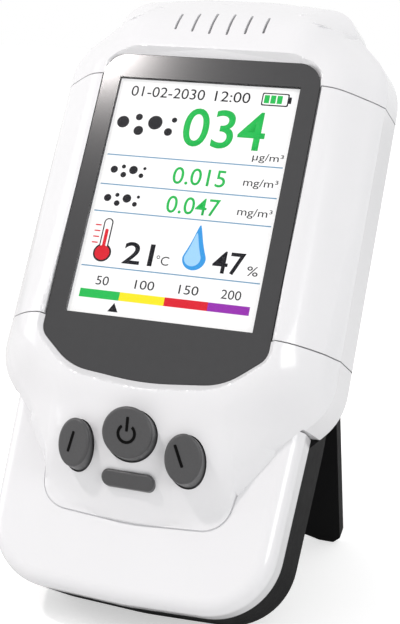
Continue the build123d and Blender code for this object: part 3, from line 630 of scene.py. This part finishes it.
def arc(radius, width, thickness, gap):
    """Flat ring with its back at z = 0, open by a gap round its top."""
    bpy.ops.mesh.primitive_plane_add(size=1)
    bpy.ops.object.mode_set(mode="EDIT")
    bpy.ops.transform.resize(value=(width * MM, thickness * MM, 1))
    bpy.ops.transform.rotate(value=math.pi / 2, orient_axis="X", center_override=(0, 0, 0))
    bpy.ops.transform.translate(value=(radius * MM, 0, thickness * MM / 2))
    bpy.ops.mesh.spin(steps=48, angle=2 * math.pi - gap, center=(0, 0, 0), axis=(0, 0, 1))
    bpy.ops.mesh.select_all(action="SELECT")
    bpy.ops.mesh.remove_doubles(threshold=0.0001 * MM)
    bpy.ops.mesh.normals_make_consistent(inside=False)
    bpy.ops.object.mode_set(mode="OBJECT")
    obj = bpy.context.active_object
    away_from_gap = sum((vertex.co for vertex in obj.data.vertices), Vector())
    turn = -math.pi / 2 - math.atan2(away_from_gap.y, away_from_gap.x)
    obj.data.transform(Matrix.Rotation(turn, 4, "Z"))
    return obj


def digits(text, height, width, bold=0.0):
    """Plain characters made into a mesh, as tall and as wide as given, centred on the origin."""
    bpy.ops.object.text_add()
    obj = bpy.context.active_object
    obj.data.body = text
    obj.data.offset = bold
    obj.data.resolution_u = 6
    bpy.ops.object.convert(target="MESH")
    obj = bpy.context.active_object
    low = [min(vertex.co[axis] for vertex in obj.data.vertices) for axis in (0, 1)]
    high = [max(vertex.co[axis] for vertex in obj.data.vertices) for axis in (0, 1)]
    scale = (width * MM / (high[0] - low[0]), height * MM / (high[1] - low[1]), 1)
    bpy.ops.object.mode_set(mode="EDIT")
    bpy.ops.mesh.select_all(action="SELECT")
    bpy.ops.transform.translate(value=(-(low[0] + high[0]) / 2, -(low[1] + high[1]) / 2, 0))
    bpy.ops.transform.resize(value=scale, center_override=(0, 0, 0))
    return thicken(INK_THICKNESS)


# ======== Lip that closes the seam round the nose ========
LIP_LINE = ((22.9, -14.0, 0), *NOSE_OUTLINE[1:])
LIP_HALF_WIDTH = 0.8
LIP_BACK = 11.1
LIP_THICKNESS = 0.32


def seam_lip():
    """Narrow strip behind the seam, from one flank of the nose round to the other."""
    line = rounded(both_sides(LIP_LINE), False)
    run = np.gradient(line, axis=0)
    outward = np.stack((-run[:, 1], run[:, 0]), axis=1) / np.linalg.norm(run, axis=1)[:, None]
    bpy.ops.mesh.primitive_grid_add(x_subdivisions=len(line) - 1, y_subdivisions=1, size=1)
    obj = bpy.context.active_object
    rows = np.concatenate((line - outward * LIP_HALF_WIDTH, line + outward * LIP_HALF_WIDTH)) * MM
    for vertex, (x, y) in zip(obj.data.vertices, rows):
        vertex.co = (x, y, 0)
    bpy.ops.object.mode_set(mode="EDIT")
    return thicken(LIP_THICKNESS)


settle(seam_lip(), on_case(0, 0, LIP_BACK), "nose_seam_lip", white_plastic, "case")


# ======== Screen ========
INKS = {
    "black": ink("screen_black", (0.012, 0.012, 0.016, 1.0)),
    "green": ink("screen_green", (0.02, 0.50, 0.09, 1.0)),
    "blue_grey": ink("screen_line", (0.16, 0.33, 0.50, 1.0)),
    "red": ink("screen_red", (0.70, 0.015, 0.03, 1.0)),
    "yellow": ink("screen_yellow", (1.0, 0.80, 0.02, 1.0)),
    "purple": ink("screen_purple", (0.30, 0.03, 0.42, 1.0)),
    "blue": ink("screen_blue", (0.04, 0.32, 0.75, 1.0)),
    "pale_blue": ink("screen_pale_blue", (0.35, 0.65, 0.95, 1.0)),
    "white": ink("screen_white", (1.0, 1.0, 1.0, 1.0)),
}

screen = plate(SCREEN_WIDTH - 0.1, SCREEN_HEIGHT - 0.1, LCD_FRONT - SCREEN_DEPTH)
settle(screen, on_case(0, SCREEN_HEIGHT / 2, LCD_FRONT), "lit_screen", INKS["white"], "case")


def on_screen(x, y):
    """Matrix of a spot on the face of the screen."""
    return on_case(x, y, SCREEN_DEPTH)


def write(name, text, x_span, y, height, colour, bold=0.0):
    """Characters across a span of the screen, centred at height y."""
    obj = digits(text, height, x_span[1] - x_span[0], bold)
    settle(obj, on_screen(sum(x_span) / 2, y), name, INKS[colour], "case")


def block(name, x_span, y_span, colour, corner=0.0, layer=1):
    """Filled rectangle on the screen."""
    obj = plate(x_span[1] - x_span[0], y_span[1] - y_span[0], layer * INK_THICKNESS, corner)
    settle(obj, on_screen(sum(x_span) / 2, sum(y_span) / 2), name, INKS[colour], "case")


def spot(name, x, y, radius, colour, layer=1):
    """Filled dot on the screen."""
    settle(disc(radius, layer * INK_THICKNESS), on_screen(x, y), name, INKS[colour], "case")


# Dots of the pictogram of airborne particles, as (across, up, radius) parts of its size.
PARTICLES = (
    (-1.95, 0.1, 0.46),
    (-0.8, 0.55, 0.26),
    (-0.65, -0.5, 0.36),
    (0.5, 0.2, 0.54),
    (1.6, -0.45, 0.3),
    (1.9, 0.5, 0.2),
)


def particles(name, x, y, size):
    """Pictogram of airborne particles: a cluster of dots."""
    for index, (across, up, radius) in enumerate(PARTICLES):
        spot(f"{name}_{index}", x + across * size, y + up * size, radius * size, "black")


write("date_digits", "01-02-2030", (-18.5, -0.6), 54.7, 2.6, "black")
write("clock_digits", "12:00", (1.9, 10.2), 54.7, 2.6, "black")
block("battery_outline", (12.9, 19.2), (53.1, 56.3), "black", 0.4)
block("battery_inside", (13.2, 18.9), (53.4, 56.0), "white", 0.3, 2)
block("battery_nub", (19.2, 19.8), (53.9, 55.5), "black")
for index in range(3):
    left = 13.5 + 1.5 * index
    block(f"battery_cell_{index}", (left, left + 1.2), (53.7, 55.7), "green", 0, 3)
particles("dust_mark", -12.6, 46.4, 3.2)
write("dust_digits", "034", (-4.0, 15.3), 46.6, 9.5, "green", 0.008)
write("dust_unit", "\u00b5g/m\u00b3", (13.5, 20.6), 40.3, 2.3, "black")
for index, y in enumerate((38.4, 31.1, 24.5, 11.3)):
    block(f"screen_rule_{index}", (-20.8, 20.8), (y - 0.14, y + 0.14), "blue_grey")
for index, (y, reading) in enumerate(((34.6, "0.015"), (27.6, "0.047"))):
    particles(f"gas_mark_{index}", -14.6, y, 1.9)
    write(f"gas_digits_{index}", reading, (-4.0, 8.4), y, 4.1, "green", 0.003)
    write(f"gas_unit_{index}", "mg/m\u00b3", (12.6, 20.5), y - 0.5, 2.4, "black")
write("temperature_digits", "21", (-11.5, -4.4), 15.2, 5.2, "black", 0.012)
write("temperature_unit", "\u00b0C", (-3.6, -0.6), 14.2, 2.2, "black")
write("humidity_digits", "47", (9.4, 16.6), 15.2, 5.2, "black", 0.012)
write("humidity_unit", "%", (17.4, 19.9), 13.9, 2.2, "black")
block("thermometer_glass", (-17.7, -15.5), (14.5, 22.9), "black", 1.05)
spot("thermometer_glass_bulb", -16.6, 14.6, 2.15, "black")
block("thermometer_inside", (-17.4, -15.8), (14.5, 22.6), "white", 0.75, 2)
spot("thermometer_bulb", -16.6, 14.6, 1.75, "red", 3)
block("thermometer_thread", (-17.0, -16.2), (14.5, 20.3), "red", 0.35, 3)
for index in range(4):
    height = 16.9 + 1.4 * index
    block(f"thermometer_tick_{index}", (-19.6, -18.2), (height - 0.15, height + 0.15), "red")
outer_drop = drop(2.7, 5.2, INK_THICKNESS)
settle(outer_drop, on_screen(5.0, 15.4), "humidity_drop", INKS["blue"], "case")
inner_drop = drop(1.9, 4.0, 2 * INK_THICKNESS)
settle(inner_drop, on_screen(4.6, 15.5), "humidity_drop_light", INKS["pale_blue"], "case")

# Bands of the scale, as (start, end, colour, limit).
SCALE_BANDS = (
    (-19.7, -10.2, "green", "50"),
    (-10.2, 0.3, "yellow", "100"),
    (0.3, 10.3, "red", "150"),
    (10.3, 19.7, "purple", "200"),
)
for index, (start, end, colour, limit) in enumerate(SCALE_BANDS):
    block(f"scale_band_{index}", (start, end), (3.9, 5.9), colour)
    middle = (start + end) / 2
    half = 0.75 * len(limit)
    write(f"scale_limit_{index}", limit, (middle - half, middle + half), 8.1, 2.1, "black")
pointer = disc(1.4, INK_THICKNESS, 3)
settle(pointer, on_screen(-11, 1.9), "scale_pointer", INKS["black"], "case")

# ======== Marks on the keys ========
MARK_WIDTH = 0.6
MARK_THICKNESS = 0.1
MARK_CORNER = 0.2
RING_RADIUS = 1.85
RING_GAP = math.radians(75)

ring = arc(RING_RADIUS, MARK_WIDTH, MARK_THICKNESS, RING_GAP)
settle(ring, on_key(POWER_FACE, 0, -0.4), "power_mark_ring", mark_paint, "power_key")

# Strokes, as (name, key, face, x, y, length, lean in degrees).
STROKES = (
    ("power_mark_stroke", "power_key", POWER_FACE, 0, 1.6, 3.1, 0),
    ("left_mark", "left_key", LEFT_FACE, -0.6, 0.0, 4.7, -19),
    ("right_mark", "right_key", RIGHT_FACE, -0.9, 0.3, 5.0, 28),
)
for stroke_name, key, face, across, up, length, lean in STROKES:
    stroke = plate(MARK_WIDTH, length, MARK_THICKNESS, MARK_CORNER)
    settle(stroke, on_key(face, across, up, math.radians(lean)), stroke_name, mark_paint, key)

# ======== Camera, light and background ========
bpy.ops.object.camera_add()
camera = bpy.context.active_object
camera.name = "camera"
camera.matrix_world = Matrix(
    (
        (0.9455, -0.1114, 0.3059, 0.0960),
        (0.3231, 0.2031, -0.9244, -0.2864),
        (0.0408, 0.9728, 0.2280, 0.1356),
        (0, 0, 0, 1),
    )
)
camera.data.sensor_width = 36
camera.data.lens = 76.3
camera.data.clip_start = 0.01
bpy.context.scene.camera = camera
bpy.context.scene.view_settings.view_transform = "Standard"


def soft_light(name, location, aim, size, power, colour=(1, 1, 1)):
    """Square area light that faces a point."""
    bpy.ops.object.light_add(type="AREA", location=location)
    lamp = bpy.context.active_object
    lamp.name = name
    lamp.data.size = size
    lamp.data.energy = power
    lamp.data.color = colour
    direction = Vector(aim) - Vector(location)
    lamp.rotation_euler = direction.to_track_quat("-Z", "Y").to_euler()


# The key light stands where the upper left corner of the lens mirrors it to the camera.
TARGET = (0, 0, 0.07)
soft_light("key_light", (-0.434, -0.457, 0.92), TARGET, 0.06, 3.6, (1.0, 0.95, 0.94))
soft_light("left_light", (-0.9, -0.2, 0.35), TARGET, 0.6, 1.9)
soft_light("right_light", (0.75, -0.45, 0.45), TARGET, 0.4, 2.2)

# The studio is white where it is seen, mirrored or seen through, and dimmer as a light.
STUDIO_LIGHT = 0.66
STUDIO_SEEN = 1.0
world = bpy.data.worlds.new("studio")
bpy.context.scene.world = world
world.use_nodes = True
sky = Graph(world.node_tree)
seen = sky.node("ShaderNodeLightPath", output="Is Camera Ray")
for ray in ("Is Glossy Ray", "Is Transmission Ray"):
    seen = seen.math("MAXIMUM", seen, sky.node("ShaderNodeLightPath", output=ray))
strength = seen * (STUDIO_SEEN - STUDIO_LIGHT) + STUDIO_LIGHT
background = sky.tree.nodes["Background"]
background.inputs["Color"].default_value = (1, 1, 1, 1)
sky.tree.links.new(strength.socket, background.inputs["Strength"])

# The floor glows a little where it is seen, so that it is white and still shows the shadow.
FLOOR_GLOW = 0.5
FLOOR_SIZE = 6
bpy.ops.mesh.primitive_plane_add(size=FLOOR_SIZE)
floor = bpy.context.active_object
floor.name = "floor"
floor_paint = Finish(
    "floor_paint",
    Roughness=0.9,
    Base_Color=(0.85, 0.85, 0.85, 1.0),
    Emission_Color=(1, 1, 1, 1),
)
floor_seen = floor_paint.node("ShaderNodeLightPath", output="Is Camera Ray")
floor_paint.set("Emission Strength", floor_seen * FLOOR_GLOW)
give(floor, floor_paint)
